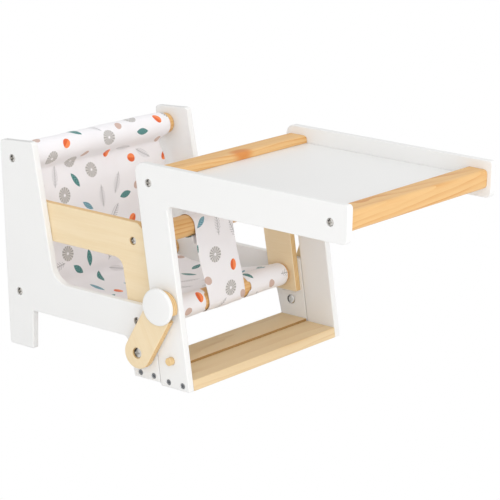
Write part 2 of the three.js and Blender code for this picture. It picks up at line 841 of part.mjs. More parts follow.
// The strap between the doll's legs: from the seat's front edge, under the front dowel and up
// to a loop round the safety bar.
function buildStrap() {
  const seat = seatPoints(seatFrontEnd);
  const seatEdge = seat.at(-2);
  const start = seatEdge.clone().add(new THREE.Vector2(clothThickness, clothThickness * 0.3));
  const under = arcPoints(seatFrontDowelAt, wrapRadius, 200, 370, 14);
  const front = arcPoints(safetyBarAt, wrapRadius, 10, 30, 2);
  place(
    "crotch_strap",
    join([
      band([start, ...under, ...front], clothThickness, strapWidth),
      sleeve(safetyBarAt, clothThickness, -strapWidth / 2, strapWidth / 2),
    ]),
    printedCotton,
  );
}

// ---------------------------------------------------------------- assembly

buildChairSides();
buildArms();
buildDowels();
buildChairBolts();
buildChairFootboard();
buildSling();
buildStrap();
buildHinges();
buildTableSides();
buildTray();
buildTableFootboard();
buildPegs();
buildLatches();

// Turn the side view into the part's own frame: forward is -Y, up is +Z, and left is -X.
// Then centre the part on its own footprint.
const part = new THREE.Group();
part.add(model);
const forward = new THREE.Vector3(0, -1, 0);
const up = new THREE.Vector3(0, 0, 1);
const left = new THREE.Vector3(-1, 0, 0);
model.quaternion.setFromRotationMatrix(new THREE.Matrix4().makeBasis(forward, up, left));
part.updateMatrixWorld(true);
const extent = new THREE.Box3().setFromObject(part);
model.position.y = -(extent.min.y + extent.max.y) / 2;

export default part;
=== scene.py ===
"""Doll's high chair with a folding table: finishes, sewn seat, hardware and studio.

The chair's boards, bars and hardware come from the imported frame. This file gives each of them
its finish, sews the cotton seat and strap, and sets up the floor, the lights and the camera.
"""

import json
import math

import bmesh
import bpy
from bpy.props import FloatProperty, FloatVectorProperty, PointerProperty
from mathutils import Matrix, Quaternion, Vector


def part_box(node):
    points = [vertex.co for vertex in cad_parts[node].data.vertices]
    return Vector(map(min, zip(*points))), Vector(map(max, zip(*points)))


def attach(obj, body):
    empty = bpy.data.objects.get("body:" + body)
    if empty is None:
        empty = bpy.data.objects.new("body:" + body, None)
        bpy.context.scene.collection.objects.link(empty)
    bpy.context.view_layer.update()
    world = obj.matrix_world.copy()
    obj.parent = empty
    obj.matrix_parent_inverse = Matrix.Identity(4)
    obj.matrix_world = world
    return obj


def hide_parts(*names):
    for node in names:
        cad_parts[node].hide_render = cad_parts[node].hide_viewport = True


bl_info = {
    "name": "Doll's High Chair",
    "version": (1, 0, 0),
    "blender": (4, 5, 0),
    "location": "View3D > Sidebar > High Chair",
    "description": "Finishes, sewn seat and studio for a doll's convertible high chair",
    "category": "Object",
}

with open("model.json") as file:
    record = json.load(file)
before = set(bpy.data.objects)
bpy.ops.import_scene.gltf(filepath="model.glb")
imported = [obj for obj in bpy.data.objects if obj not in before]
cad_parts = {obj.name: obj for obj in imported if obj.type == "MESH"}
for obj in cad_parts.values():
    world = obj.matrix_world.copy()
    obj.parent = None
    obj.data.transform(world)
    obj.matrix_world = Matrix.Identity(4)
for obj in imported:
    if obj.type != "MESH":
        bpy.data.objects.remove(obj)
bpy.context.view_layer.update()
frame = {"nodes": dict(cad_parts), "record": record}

MM = 0.001


# ---------------------------------------------------------------- colours and sizes


def linear(hex_colour):
    """An sRGB hex colour, such as "#F0F0EF", as linear red, green, blue and alpha."""
    parts = [int(hex_colour[i : i + 2], 16) / 255 for i in (1, 3, 5)]
    return (*(c / 12.92 if c <= 0.04045 else ((c + 0.055) / 1.055) ** 2.4 for c in parts), 1.0)


def colour_property(name, description, hex_colour):
    """A colour that the user may change, given as an sRGB hex colour."""
    return FloatVectorProperty(
        name=name,
        description=description,
        subtype="COLOR",
        size=4,
        min=0,
        max=1,
        default=linear(hex_colour),
    )


def length_property(name, description, default):
    """A length that the user may change, in metres."""
    return FloatProperty(name=name, description=description, unit="LENGTH", min=0, default=default)


class FinishColours(bpy.types.PropertyGroup):
    """Colours of the boards, bars, hardware and cloth."""

    lacquer: colour_property("Lacquer", "White lacquer of the sides, desk and knobs", "#F1F1F0")
    ply_face: colour_property("Plywood face", "Birch face of the arms and latches", "#F0DCB8")
    ply_figure: colour_property("Plywood figure", "Darker streaks in the birch face", "#E6CC9E")
    ply_cross: colour_property("Cross plies", "Darker layers in a plywood edge", "#D3A266")
    ply_long: colour_property("Long plies", "Lighter layers in a plywood edge", "#EBCD98")
    pine_early: colour_property("Pine, early wood", "Ground colour of the pine bars", "#E9BD7F")
    pine_late: colour_property("Pine, late wood", "Growth lines of the pine bars", "#D38F3E")
    pine_knot: colour_property("Pine knot", "Knots and resin streaks", "#D98A3C")
    tread_early: colour_property("Footboard, early wood", "Ground colour of the footboards", "#EBD2A8")
    # Painted shade: the shade of the gap between the two footboards, painted on the rear footboard's front
    # edge.
    tread_front_shade: colour_property("Footboard, painted front shade", "Painted shade on the front edge of the rear footboard", "#A47B42")
    tread_late: colour_property("Footboard, late wood", "Growth lines of the footboards", "#DDBC8B")
    nickel: colour_property("Nickel", "Plated bolts and nuts", "#D2CFCA")
    zinc: colour_property("Zinc", "Plated screws and hinges", "#A6A8AB")
    cloth: colour_property("Cotton", "Ground colour of the cotton", "#F5F3F6")
    petal: colour_property("Petal", "Light half of the printed petals", "#F98A4E")
    petal_dark: colour_property("Petal, dark", "Dark half of the printed petals", "#E4642A")
    leaf: colour_property("Leaf", "Printed leaves", "#6FA39E")
    leaf_dark: colour_property("Leaf veins", "Veins of the printed leaves", "#2F6F70")
    feather: colour_property("Feather leaf", "Printed feather leaves", "#94BCC8")
    feather_dark: colour_property("Feather leaf veins", "Veins of the feather leaves", "#4F8699")
    pebble: colour_property("Pebble", "Printed ovals", "#CFB3A8")
    disc: colour_property("Disc", "Printed round discs", "#DCD9D7")
    disc_dark: colour_property("Disc rays", "Rays in the printed discs", "#9C9896")
    sprig: colour_property("Sprig", "Printed line sprigs", "#BDBBBE")


class SewingSizes(bpy.types.PropertyGroup):
    """Sizes of the sewn seat and strap."""

    cloth_thickness: length_property("Cloth thickness", "Two layers of cotton", 0.9 * MM)
    top_roll: length_property("Top roll", "Radius of the rolled top, over the cloth", 15.1 * MM)
    sleeve: length_property("Sleeve slack", "Room between a dowel and its sleeve", 0.7 * MM)
    neck: length_property("Neck", "From the roll down to the seam that closes it", 5 * MM)
    roll_half_width: length_property("Roll half width", "Half the width of the top roll", 122.5 * MM)
    pinch_half_width: length_property("Pinch half width", "Half the width just under the roll", 114 * MM)
    back_half_width: length_property("Back half width", "Half the width of the back panel", 122 * MM)
    seat_half_width: length_property("Seat half width", "Half the width of the seat panel", 117.5 * MM)
    pinch_length: length_property("Pinch length", "Over which the pinched edge flares out", 24 * MM)
    seat_sag: length_property("Seat sag", "How far the seat hangs below its dowels", 9 * MM)
    sleeve_gap: length_property("Sleeve gap", "Half the gap between the two front sleeves", 37 * MM)
    strap_half_width: length_property("Strap half width", "Half the width of the strap", 33 * MM)
    motif: length_property("Motif spacing", "Between the middles of the printed motifs", 30 * MM)


class StudioSizes(bpy.types.PropertyGroup):
    """Where the camera stands and how the studio is lit."""

    camera_place: FloatVectorProperty(
        name="Camera place",
        description="Where the camera stands",
        subtype="TRANSLATION",
        unit="LENGTH",
        default=(-1.8574, -1.4534, 0.7756),
    )
    camera_aim: FloatVectorProperty(
        name="Camera aim",
        description="Direction that the camera looks in",
        subtype="DIRECTION",
        default=(0.7615, 0.5913, -0.2654),
    )
    camera_roll: FloatProperty(
        name="Camera roll",
        description="Turn of the camera about its own line of sight",
        subtype="ANGLE",
        default=math.radians(1.385),
    )
    lens: FloatProperty(name="Lens", description="Focal length in millimetres", min=1, default=155.3)
    sky: FloatProperty(
        name="Sky", description="Brightness of the even light all round", min=0, default=0.98
    )
    key: FloatProperty(name="Key light", description="Power of the large soft lamp", min=0, default=6)
    fill: FloatProperty(name="Fill light", description="Power of the low soft lamp", min=0, default=7)
    floor_colour: colour_property("Floor", "Colour of the studio floor", "#FAFAFA")


def settings():
    """The scene's colours, sewing sizes and studio sizes."""
    scene = bpy.context.scene
    return scene.high_chair_colours, scene.high_chair_sewing, scene.high_chair_studio


# ---------------------------------------------------------------- material tools


def add(tree, kind, *inputs, **node_settings):
    """Adds one shader node and returns its first output. The kind may carry an operation, as in
    "Math:ADD". Inputs are values or sockets in order, or a dict of them by name."""
    name, _, operation = kind.partition(":")
    node = tree.nodes.new("ShaderNode" + name)
    if operation:
        node.operation = operation
    for key, value in node_settings.items():
        setattr(node, key, value)
    live = [socket for socket in node.inputs if socket.enabled]
    pairs = [(live[i], value) for i, value in enumerate(inputs) if not isinstance(value, dict)]
    pairs += [(node.inputs[k], v) for value in inputs if isinstance(value, dict) for k, v in value.items()]
    for socket, value in pairs:
        if isinstance(value, bpy.types.NodeSocket):
            tree.links.new(value, socket)
        elif value is not None:
            socket.default_value = value
    return next((socket for socket in node.outputs if socket.enabled), None)


def start_material(name):
    """A new material with a Principled shader: returns it, its tree and the shader's sockets."""
    material = bpy.data.materials.new(name)
    material.use_nodes = True
    tree = material.node_tree
    tree.nodes.clear()
    surface = add(tree, "BsdfPrincipled")
    add(tree, "OutputMaterial", surface)
    return material, tree, surface.node.inputs


def link(tree, socket, target):
    """Joins an output to an input that is already there."""
    tree.links.new(socket, target)


# ---------------------------------------------------------------- materials


def white_lacquer(colours):
    # Polyurethane lacquer sprayed on MDF: an even, satin white skin whose gloss is broken by a
    # faint orange peel. The peel is about 1 mm across on the real board; it is drawn at 2.5 mm.
    material, tree, shader = start_material("white_lacquer_sprayed_satin")
    place = add(tree, "TexCoord").node.outputs["Object"]
    cloud = add(tree, "TexNoise", place, {"Scale": 1 / (60 * MM), "Detail": 2})
    shade = [0.975 * c for c in colours.lacquer[:3]] + [1]
    tone = add(tree, "Mix", cloud, shade, colours.lacquer, data_type="RGBA")
    link(tree, tone, shader["Base Color"])
    peel = add(tree, "TexNoise", place, {"Scale": 1 / (2.5 * MM), "Detail": 1})
    bump = add(tree, "Bump", {"Strength": 0.12, "Distance": 0.05 * MM, "Height": peel})
    link(tree, bump, shader["Normal"])
    gloss = add(tree, "MapRange", cloud, 0.3, 0.7, 0.34, 0.42)
    link(tree, gloss, shader["Roughness"])
    shader["IOR"].default_value = 1.5
    shader["Coat Weight"].default_value = 0.15
    shader["Coat Roughness"].default_value = 0.25
    return material


def birch_plywood(name, colours, inner_face, thickness, grain):
    # Birch plywood under clear varnish. The rotary-cut face has a quiet, stretched figure; the
    # edge shows seven plies, light where the grain runs along it and dark where it is end grain.
    # inner_face is where the board starts across the chair, and grain is the face's direction.
    material, tree, shader = start_material(name)
    coordinates = add(tree, "TexCoord").node.outputs
    across = add(tree, "SeparateXYZ", coordinates["Object"])
    facing = add(tree, "SeparateXYZ", coordinates["Normal"])

    along, up = grain
    turned = add(
        tree, "VectorRotate", coordinates["Object"], {"Axis": (1, 0, 0), "Angle": -math.atan2(up, along)}
    )
    stretched = add(tree, "VectorMath:MULTIPLY", turned, (1, 0.06, 1))
    fibre = add(tree, "TexNoise", stretched, {"Scale": 1 / (1.6 * MM), "Detail": 3, "Roughness": 0.6})
    flame = add(tree, "TexNoise", stretched, {"Scale": 1 / (9 * MM), "Detail": 2, "Distortion": 0.6})
    figure = add(tree, "Math:MULTIPLY_ADD", flame, 0.6, add(tree, "Math:MULTIPLY", fibre, 0.4))
    figure = add(tree, "MapRange", figure, 0.4, 0.7, 0, 0.5)
    face = add(tree, "Mix", figure, colours.ply_face, colours.ply_figure, data_type="RGBA")

    plies = 7
    depth = add(tree, "Math:SUBTRACT", add(tree, "Math:ABSOLUTE", across), inner_face)
    wavy = add(tree, "TexNoise", coordinates["Object"], {"Scale": 1 / (12 * MM), "Detail": 1})
    depth = add(tree, "Math:MULTIPLY_ADD", wavy, 0.25 * MM, depth)
    layer = add(tree, "Math:MULTIPLY", depth, plies / thickness)
    phase = add(tree, "Math:FRACT", add(tree, "Math:MULTIPLY", layer, 0.5))
    is_cross = add(tree, "Math:GREATER_THAN", phase, 0.5)
    speckle = add(tree, "TexNoise", coordinates["Object"], {"Scale": 1 / (0.9 * MM), "Detail": 2})
    end_grain = add(tree, "Math:MULTIPLY", is_cross, add(tree, "MapRange", speckle, 0.2, 0.8, 0.65, 1))
    edge = add(tree, "Mix", end_grain, colours.ply_long, colours.ply_cross, data_type="RGBA")

    on_edge = add(tree, "Math:LESS_THAN", add(tree, "Math:ABSOLUTE", facing), 0.5)
    link(tree, add(tree, "Mix", on_edge, face, edge, data_type="RGBA"), shader["Base Color"])
    relief = add(tree, "Math:MULTIPLY_ADD", on_edge, end_grain, fibre)
    bump = add(tree, "Bump", {"Strength": 0.25, "Distance": 0.08 * MM, "Height": relief})
    link(tree, bump, shader["Normal"])
    link(tree, add(tree, "MapRange", fibre, 0.3, 0.7, 0.45, 0.6), shader["Roughness"])
    shader["IOR"].default_value = 1.5
    return material


def softwood(name, early, late, knot_colour, ring, pith, lean=0.0, knots=(), painted_front_shade=None):
    # Planed and oiled softwood with its grain along the bar. Early wood is pale and wide, late
    # wood is a thin darker line at the end of each year's ring; fine fibres run the whole length.
    # ring is the width of a year, pith is the heart of the trunk in Y and Z, and lean is how far
    # the grain drifts up for each millimetre along. A knot is a place and a radius. The last argument,
    # when given, is a colour of painted shade for every face that looks to the front: the shade of the
    # narrow gap between the two footboards.
    material, tree, shader = start_material(name)
    place = add(tree, "TexCoord").node.outputs["Object"]
    parts = add(tree, "SeparateXYZ", place).node.outputs
    slow = add(tree, "VectorMath:MULTIPLY", place, (0.1, 1, 1))
    wander = add(tree, "TexNoise", slow, {"Scale": 1 / (22 * MM), "Detail": 2, "Roughness": 0.45})
    wander = add(tree, "MapRange", wander, 0.25, 0.75, -3.2 * MM, 3.2 * MM)
    rise = add(tree, "Math:MULTIPLY_ADD", parts["X"], lean, parts["Z"])
    rise = add(tree, "Math:ADD", rise, wander)

    knot_mask = 0.0
    for centre, radius in knots:
        offset = add(tree, "VectorMath:SUBTRACT", place, centre)
        offset = add(tree, "VectorMath:MULTIPLY", offset, (0.55, 1, 1))
        distance = add(tree, "VectorMath:LENGTH", offset)
        core = add(tree, "MapRange", distance, radius, 0.35 * radius, 0, 1, interpolation_type="SMOOTHSTEP")
        swirl = add(tree, "MapRange", distance, 4 * radius, 0, 0, 5 * MM, interpolation_type="SMOOTHSTEP")
        rise = add(tree, "Math:ADD", rise, swirl)
        knot_mask = add(tree, "Math:MAXIMUM", core, knot_mask)

    pith_y, pith_z = pith
    out = add(tree, "CombineXYZ", 0.0, add(tree, "Math:SUBTRACT", parts["Y"], pith_y))
    link(tree, add(tree, "Math:SUBTRACT", rise, pith_z), out.node.inputs["Z"])
    years = add(tree, "Math:DIVIDE", add(tree, "VectorMath:LENGTH", out), ring)
    season = add(tree, "Math:FRACT", years)
    line = add(tree, "Math:POWER", season, 3.0)
    fade = add(tree, "TexNoise", slow, {"Scale": 1 / (14 * MM), "Detail": 1})
    line = add(tree, "Math:MULTIPLY", line, add(tree, "MapRange", fade, 0.35, 0.7, 0.15, 1))
    thin = add(tree, "VectorMath:MULTIPLY", place, (0.03, 1, 1))
    fibre = add(tree, "TexNoise", thin, {"Scale": 1 / (0.9 * MM), "Detail": 3, "Roughness": 0.65})
    grain = add(tree, "Math:MULTIPLY_ADD", add(tree, "MapRange", fibre, 0.3, 0.75, 0, 1), 0.22, line)
    wood = add(tree, "Mix", add(tree, "MapRange", grain, 0.05, 1.0), early, late, data_type="RGBA")
    if knots:
        wood = add(tree, "Mix", knot_mask, wood, knot_colour, data_type="RGBA")
    # Painted shade: faces that look to the front take a darker colour that stands in for the shade of the
    # gap between the footboards.
    if painted_front_shade:
        facing = add(tree, "SeparateXYZ", add(tree, "TexCoord").node.outputs["Normal"]).node.outputs
        is_front = add(tree, "Math:LESS_THAN", facing["Y"], -0.5)
        wood = add(tree, "Mix", is_front, wood, painted_front_shade, data_type="RGBA")
    link(tree, wood, shader["Base Color"])
    bump = add(tree, "Bump", {"Strength": 0.25, "Distance": 0.1 * MM, "Height": grain})
    link(tree, bump, shader["Normal"])
    link(tree, add(tree, "MapRange", grain, 0.0, 1.0, 0.5, 0.38), shader["Roughness"])
    shader["IOR"].default_value = 1.5
    return material


def plated_metal(name, colour, roughness):
    # Plated steel: a bright metal whose gloss varies a little over each head, with fine marks from
    # the tumbler. Marks are some 0.1 mm wide; they are drawn at 0.4 mm.
    material, tree, shader = start_material(name)
    place = add(tree, "TexCoord").node.outputs["Object"]
    marks = add(tree, "TexNoise", place, {"Scale": 1 / (0.4 * MM), "Detail": 2})
    link(tree, add(tree, "MapRange", marks, 0.3, 0.7, roughness, 1.6 * roughness), shader["Roughness"])
    bump = add(tree, "Bump", {"Strength": 0.1, "Distance": 0.02 * MM, "Height": marks})
    link(tree, bump, shader["Normal"])
    shader["Base Color"].default_value = colour
    shader["Metallic"].default_value = 1.0
    return material


def printed_cotton(colours, spacing):
    # Plain-woven cotton with a loose print of leaves, petals, pebbles, rayed discs and sprigs.
    # The weave is about 0.4 mm; it is drawn at 1.1 mm, as fine as it can show. The surface
    # coordinates are the cloth's own metres, so the print keeps its size as the cloth bends.
    material, tree, shader = start_material("printed_cotton_plain_weave")
    cloth = add(tree, "TexCoord").node.outputs["UV"]
    in_cells = add(tree, "VectorRotate", cloth, {"Axis": (0, 0, 1), "Angle": math.radians(23)})
    in_cells = add(tree, "VectorMath:SCALE", in_cells, {"Scale": 1 / spacing})
    cell = add(
        tree, "TexVoronoi", in_cells, {"Scale": 1.0, "Randomness": 0.42}, voronoi_dimensions="2D"
    ).node.outputs
    chance = add(tree, "SeparateColor", cell["Color"]).node.outputs
    local = add(tree, "VectorMath:SUBTRACT", in_cells, cell["Position"])
    turn = add(tree, "Math:MULTIPLY", chance["Red"], math.tau)
    local = add(tree, "VectorRotate", local, {"Axis": (0, 0, 1), "Angle": turn})
    place = add(tree, "SeparateXYZ", local).node.outputs
    x, y = place["X"], place["Y"]
    side = add(tree, "Math:ABSOLUTE", y)
    x2 = add(tree, "Math:MULTIPLY", x, x)
    y2 = add(tree, "Math:MULTIPLY", y, y)
    kind = chance["Green"]

    def blade(length, width):
        """Inside a leaf that is pointed at both ends."""
        reach = add(tree, "Math:MULTIPLY_ADD", x2, -width / length**2, width)
        return add(tree, "Math:GREATER_THAN", reach, side)

    def oval(length, width):
        """Inside an ellipse."""
        sum_of_squares = add(tree, "Math:MULTIPLY_ADD", x2, (width / length) ** 2, y2)
        return add(tree, "Math:LESS_THAN", sum_of_squares, width**2)

    def veins(count, slant, above):
        """Slanting stripes on both sides of the middle line."""
        phase = add(tree, "Math:MULTIPLY_ADD", side, slant, x)
        wave = add(tree, "Math:SINE", add(tree, "Math:MULTIPLY", phase, count * math.tau))
        return add(tree, "Math:GREATER_THAN", wave, above)

    def chosen(low, high):
        """Cells whose random number lies between low and high."""
        return add(tree, "Math:COMPARE", kind, (low + high) / 2, (high - low) / 2)

    rays = add(tree, "Math:SINE", add(tree, "Math:MULTIPLY", add(tree, "Math:ARCTAN2", y, x), 15.0))
    rays = add(tree, "MapRange", rays, -0.3, 0.7)
    upper = add(tree, "Math:GREATER_THAN", y, 0.0)
    wheel = add(tree, "Math:SUBTRACT", oval(0.32, 0.3), oval(0.06, 0.06))
    sprig = add(tree, "Math:MULTIPLY", blade(0.45, 0.16), veins(9, 0.9, 0.55))
    stem = add(tree, "Math:MULTIPLY", blade(0.45, 0.16), add(tree, "Math:LESS_THAN", side, 0.02))
    motifs = [
        (chosen(0.0, 0.18), blade(0.34, 0.13), veins(8, 1.2, -0.1), colours.leaf, colours.leaf_dark),
        (chosen(0.18, 0.29), oval(0.22, 0.17), upper, colours.petal, colours.petal_dark),
        (chosen(0.29, 0.46), oval(0.2, 0.15), 0.0, colours.pebble, colours.pebble),
        (chosen(0.46, 0.6), wheel, rays, colours.disc, colours.disc_dark),
        (chosen(0.6, 0.74), blade(0.34, 0.11), veins(8, 1.6, 0.0), colours.feather, colours.feather_dark),
        (chosen(0.74, 1.0), add(tree, "Math:MAXIMUM", sprig, stem), 0.0, colours.sprig, colours.sprig),
    ]
    blotch = add(tree, "TexNoise", cloth, {"Scale": 1 / (35 * MM), "Detail": 2})
    shade = [0.965 * c for c in colours.cloth[:3]] + [1]
    dyed = add(tree, "Mix", blotch, shade, colours.cloth, data_type="RGBA")
    for here, shape, detail, light, dark in motifs:
        ink = add(tree, "Mix", detail, light, dark, data_type="RGBA")
        dyed = add(tree, "Mix", add(tree, "Math:MULTIPLY", here, shape), dyed, ink, data_type="RGBA")
    link(tree, dyed, shader["Base Color"])

    thread = 1.1 * MM
    weave_place = add(tree, "SeparateXYZ", cloth).node.outputs
    warp = add(tree, "Math:SINE", add(tree, "Math:MULTIPLY", weave_place["X"], math.tau / thread))
    weft = add(tree, "Math:SINE", add(tree, "Math:MULTIPLY", weave_place["Y"], math.tau / thread))
    weave = add(tree, "Math:MULTIPLY", warp, weft)
    bump = add(tree, "Bump", {"Strength": 0.2, "Distance": 0.1 * MM, "Height": weave})
    link(tree, bump, shader["Normal"])
    shader["Roughness"].default_value = 0.92
    shader["IOR"].default_value = 1.45
    shader["Sheen Weight"].default_value = 0.25
    shader["Sheen Roughness"].default_value = 0.5
    return material


# ---------------------------------------------------------------- mesh tools


def make_piece(name, shape, material, smooth_angle, body):
    """Turns a bmesh into a piece that rides on a body, with edges sharper than the angle left crisp."""
    for face in shape.faces:
        face.smooth = True
    for edge in shape.edges:
        if len(edge.link_faces) == 2 and edge.calc_face_angle() > smooth_angle:
            edge.smooth = False
    mesh = bpy.data.meshes.new(name)
    shape.to_mesh(mesh)
    shape.free()
    carried_normals = mesh.attributes.get("custom_normal")
    if carried_normals:
        mesh.attributes.remove(carried_normals)
    mesh.materials.clear()
    mesh.materials.append(material)
    piece = bpy.data.objects.new(name, mesh)
    bpy.context.scene.collection.objects.link(piece)
    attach(piece, body)
    return piece


def finish_board(node, material, body, smooth_degrees=50):
    """A board or fitting as one clean, welded mesh in place of the faceted one, shape unchanged."""
    weld = 0.001 * MM
    shape = bmesh.new()
    shape.from_mesh(frame["nodes"][node].data)
    bmesh.ops.remove_doubles(shape, verts=shape.verts, dist=weld)
    bmesh.ops.dissolve_limit(shape, angle_limit=math.radians(0.3), verts=shape.verts, edges=shape.edges)
    piece = make_piece(f"{node}_finished", shape, material, math.radians(smooth_degrees), body)
    even = piece.modifiers.new("flat faces stay flat", "WEIGHTED_NORMAL")
    even.keep_sharp = True
    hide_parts(node)
    return piece


def turned_piece(node, profile, material, body, segments=72, smooth_degrees=35):
    """A turned piece in place of a node, about a line along X through the node's middle. The
    profile is a list of (x, radius) from the left end to the right."""
    low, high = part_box(node)
    middle = (low + high) / 2
    shape = bmesh.new()
    rings = []
    for x, radius in profile:
        if radius == 0:
            rings.append([shape.verts.new((x, middle.y, middle.z))])
            continue
        angles = [math.tau * step / segments for step in range(segments)]
        ring = [(x, middle.y + radius * math.cos(a), middle.z + radius * math.sin(a)) for a in angles]
        rings.append([shape.verts.new(point) for point in ring])
    for ring, following in zip(rings, rings[1:]):
        for step in range(segments):
            nearby = (step + 1) % segments
            corners = [ring[step % len(ring)], ring[nearby % len(ring)]]
            corners += [following[nearby % len(following)], following[step % len(following)]]
            shape.faces.new(list(dict.fromkeys(corners)))
    bmesh.ops.recalc_face_normals(shape, faces=shape.faces)
    piece = make_piece(f"{node}_turned", shape, material, math.radians(smooth_degrees), body)
    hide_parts(node)
    return piece


def both(name):
    """The names of the left and the right node of a pair."""
    return [f"{name}_left", f"{name}_right"]


def rounded(end, radius, ease, towards, steps=4):
    """Profile points for an eased rim: the rim's radius at x = end, eased inwards along towards."""
    points = []
    for step in range(steps + 1):
        angle = math.pi / 2 * step / steps
        x = end - towards * ease * (1 - math.sin(angle))
        points.append((x, radius - ease * (1 - math.cos(angle))))
    return points if towards > 0 else points[::-1]


# ---------------------------------------------------------------- sewing


class ClothPath:
    """The run of a cloth seen from the side, as points in Y and Z, with the length at each mark."""

    def __init__(self, y, z):
        self.points = [Vector((y, z))]
        self.marks = {}

    def length(self):
        return sum((b - a).length for a, b in zip(self.points, self.points[1:]))

    def to(self, y, z, sag=0.0, steps=12):
        """On to a point, hanging below the straight line by the sag."""
        start, end = self.points[-1], Vector((y, z))
        for step in range(1, steps + 1):
            share = step / steps
            drop = Vector((0, 4 * sag * share * (1 - share)))
            self.points.append(start.lerp(end, share) - drop)
        return self

    def around(self, centre, radius, first, last, step=6):
        """Round a dowel. Angles in degrees: 0 is in front of the dowel and 90 is on top of it."""
        count = max(2, round(abs(last - first) / step))
        for i in range(count + 1):
            angle = math.radians(first + (last - first) * i / count)
            offset = Vector((-math.cos(angle), math.sin(angle))) * radius
            self.points.append(centre + offset)
        return self

    def mark(self, name):
        self.marks[name] = self.length()
        return self

    def evenly(self, spacing):
        """Points at even steps along the path, each with its length so far."""
        total = self.length()
        count = round(total / spacing)
        rows = []
        walked = 0.0
        index = 0
        for row in range(count + 1):
            target = total * row / count
            while index < len(self.points) - 2:
                stretch = (self.points[index + 1] - self.points[index]).length
                if walked + stretch >= target:
                    break
                walked += stretch
                index += 1
            a, b = self.points[index], self.points[index + 1]
            share = (target - walked) / max((b - a).length, 1e-9)
            rows.append((a.lerp(b, share), target))
        return rows


def smooth(value, low, high):
    """0 below low, 1 above high, and a smooth rise between."""
    share = min(max((value - low) / (high - low), 0.0), 1.0)
    return share * share * (3 - 2 * share)


def sew_sheet(path, spacing, columns, edges, relief, keep):
    """A sheet of quads along a path. edges(s) gives its left and right edge at a length, relief(x, s)
    lifts the cloth off its path, and keep(x, s) says where the cloth is. UVs are metres of cloth."""
    rows = path.evenly(spacing)
    shape = bmesh.new()
    uv = shape.loops.layers.uv.new("cloth")
    grid = []
    for index, (point, s) in enumerate(rows):
        before, after = rows[max(index - 1, 0)][0], rows[min(index + 1, len(rows) - 1)][0]
        along = (after - before).normalized()
        outward = Vector((along.y, -along.x))
        left, right = edges(s)
        line = []
        for column in range(columns + 1):
            x = left + (right - left) * column / columns
            y, z = point + outward * relief(x, s)
            line.append((shape.verts.new((x, y, z)), x, s))
        grid.append(line)
    for line, following in zip(grid, grid[1:]):
        for column in range(columns):
            corners = [line[column], line[column + 1], following[column + 1], following[column]]
            middle_x = sum(c[1] for c in corners) / 4
            middle_s = sum(c[2] for c in corners) / 4
            if keep(middle_x, middle_s):
                face = shape.faces.new([c[0] for c in corners])
                for loop, corner in zip(face.loops, corners):
                    loop[uv].uv = (corner[1], corner[2])
    loose = [vert for vert in shape.verts if not vert.link_faces]
    bmesh.ops.delete(shape, geom=loose, context="VERTS")
    return shape


def thicken(piece, thickness):
    """Gives a sheet its thickness, half to each side, and rounds it."""
    solid = piece.modifiers.new("cloth thickness", "SOLIDIFY")
    solid.thickness = thickness
    solid.offset = 0
    finer = piece.modifiers.new("finer", "SUBSURF")
    finer.levels = 1
    finer.render_levels = 1


def middle_of(node):
    """The middle of a node seen from the side, in Y and Z."""
    low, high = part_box(node)
    return Vector(((low.y + high.y) / 2, (low.z + high.z) / 2))


def dowel_radius():
    """The radius that the four dowels share."""
    low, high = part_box("safety_bar")
    return (high.z - low.z) / 2


def sling_path(sewing):
    """From the seam behind the top roll, over it, down the back, along the seat and round the front
    dowel."""
    top, rear, front = (middle_of(n) for n in ("back_top_dowel", "seat_rear_dowel", "seat_front_dowel"))
    roll = sewing.top_roll - sewing.cloth_thickness / 2
    wrap = dowel_radius() + sewing.sleeve
    seam_drop = roll + sewing.neck
    seam_split = 0.6 * MM
    crease = 12 * MM
    seat_rear_height = rear.y - 5 * MM
    back_foot = rear.x - wrap
    back_foot_lift = 8 * MM
    roll_starts, roll_ends = 238, -58
    sleeve_starts, sleeve_ends = 125, -185
    path = ClothPath(top.x + seam_split, top.y - seam_drop)
    path.around(top, roll, roll_starts, roll_ends)
    path.to(top.x - seam_split, top.y - seam_drop, steps=3).mark("pinch")
    path.to(back_foot, seat_rear_height + crease + back_foot_lift, steps=24).mark("foot")
    corner = Vector((back_foot - crease, seat_rear_height + crease))
    turn = [math.radians(15 * i) for i in range(7)]
    for angle in turn:
        y = corner.x + crease * math.cos(angle)
        path.points.append(Vector((y, corner.y - crease * math.sin(angle))))
    path.mark("corner")
    rise = math.radians(sleeve_starts)
    sleeve_top = (front.x - wrap * math.cos(rise), front.y + wrap * math.sin(rise))
    path.to(*sleeve_top, sag=sewing.seat_sag, steps=24)
    path.mark("front")
    path.around(front, wrap, sleeve_starts, sleeve_ends).mark("end")
    return path


